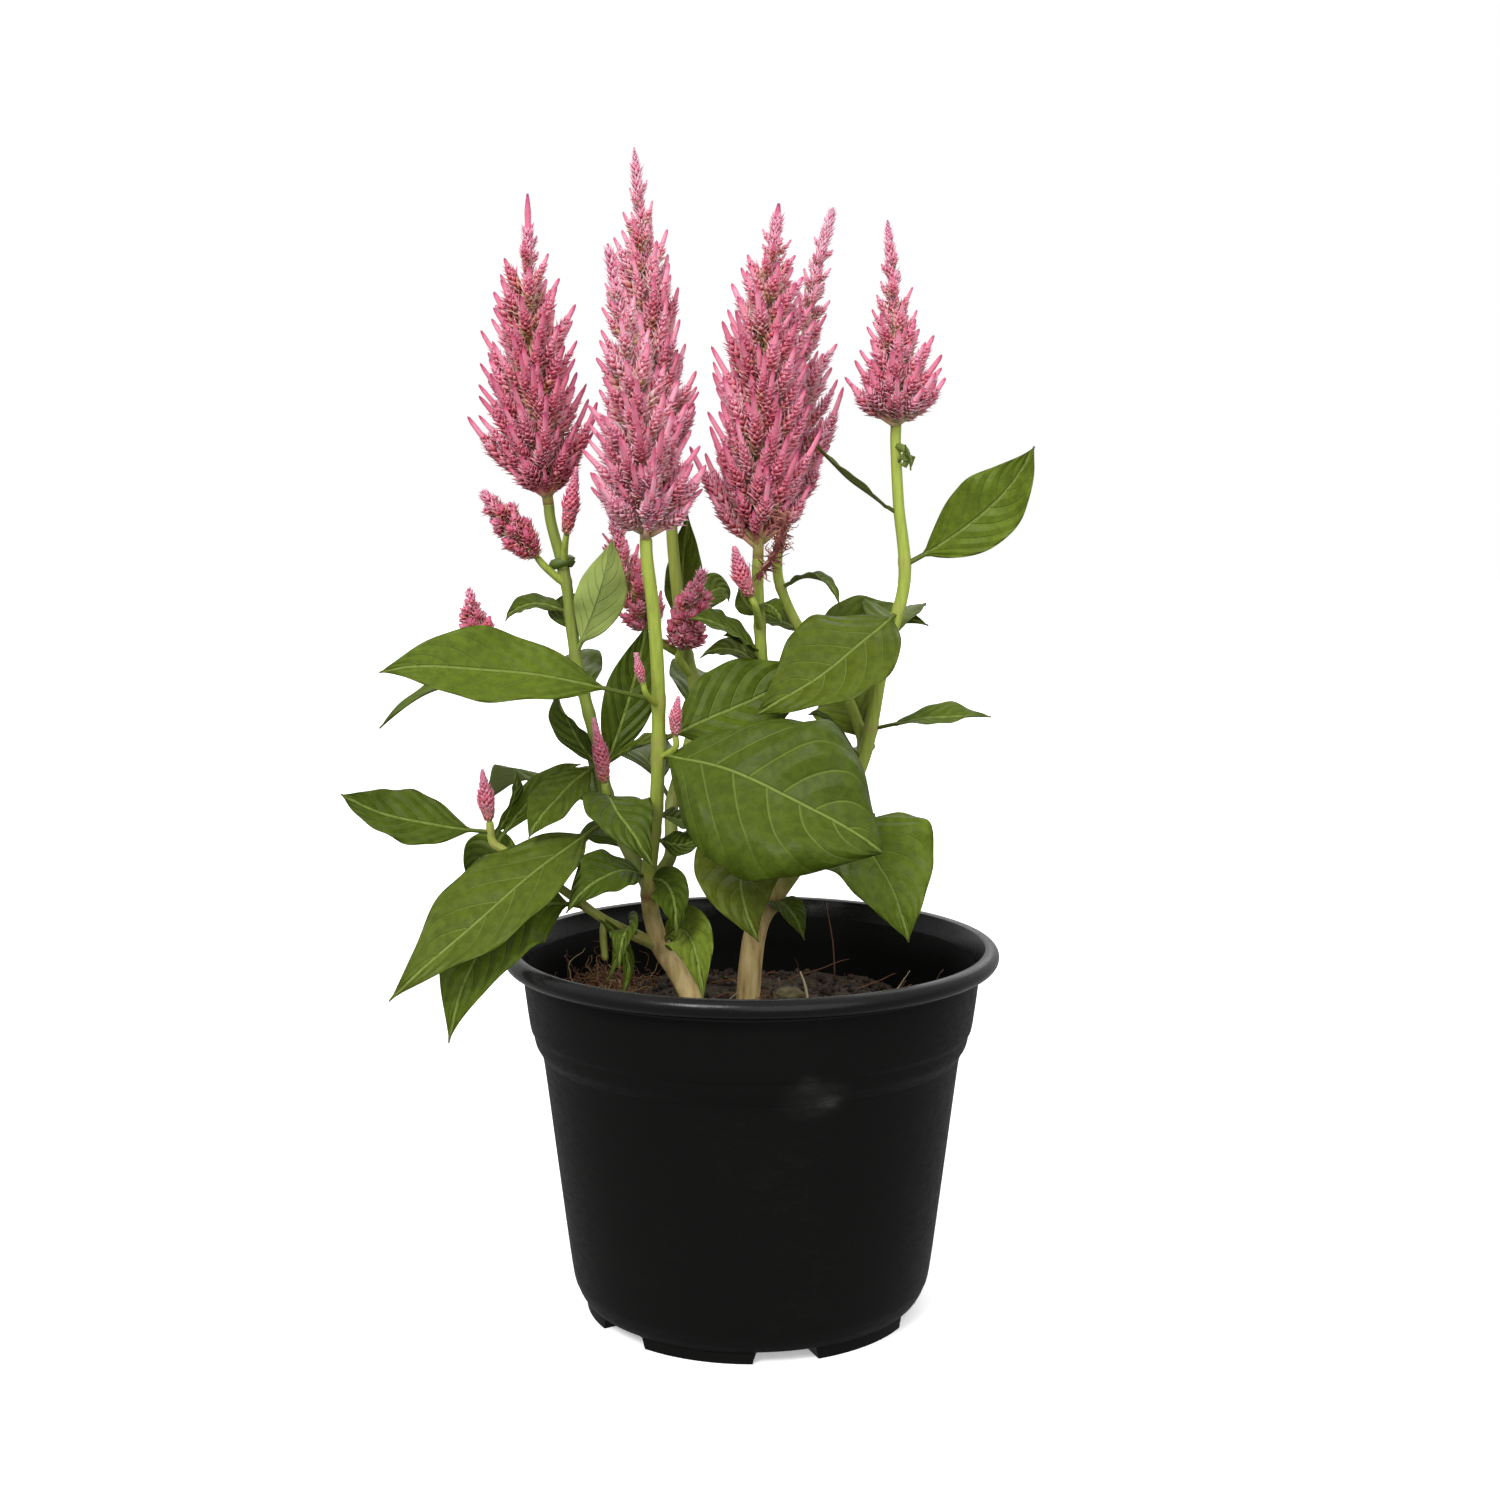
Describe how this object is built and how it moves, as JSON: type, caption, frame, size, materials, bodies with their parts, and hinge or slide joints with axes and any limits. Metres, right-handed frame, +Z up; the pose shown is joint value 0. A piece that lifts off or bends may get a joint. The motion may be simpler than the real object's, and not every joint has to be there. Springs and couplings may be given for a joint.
{
  "type": "potted plume celosia",
  "caption": "Flowering plume celosia in a round nursery pot: upright feathery pink plumes on leafy green stems that rise from dark soil.",
  "frame": {"origin": "middle of the pot's underside, on the surface that it stands on", "axes": "+Z up; the picture looks along +Y, so -Y is the front and +X is the right of the picture"},
  "size_m": [0.2037, 0.1673, 0.353],
  "materials": {
    "black_plastic": "satin, slightly glossy on the rim",
    "peat": "matte, crumbly, fibrous",
    "bark": "matte",
    "green_leaf": "satin leaf with pale veins",
    "pink_plume": "soft, matte, papery florets"
  },
  "bodies": {
    "root": {"pot": "black_plastic", "soil": "peat", "bark_chip": "bark", "leafy_stems_left": "green_leaf", "leafy_stems_right": "green_leaf", "plume_left": "pink_plume", "plume_front": "pink_plume", "plume_back": "pink_plume", "plume_centre": "pink_plume", "plume_inner": "pink_plume", "plume_right": "pink_plume", "cluster_low_left": "pink_plume", "cluster_low_right": "pink_plume", "side_plume_outer": "pink_plume", "side_plume_near": "pink_plume", "head_left": "pink_plume", "bud_arm": "pink_plume", "bud_left": "pink_plume", "bud_front_high": "pink_plume", "bud_front": "pink_plume", "head_centre": "pink_plume"}
  },
  "joints": []
}
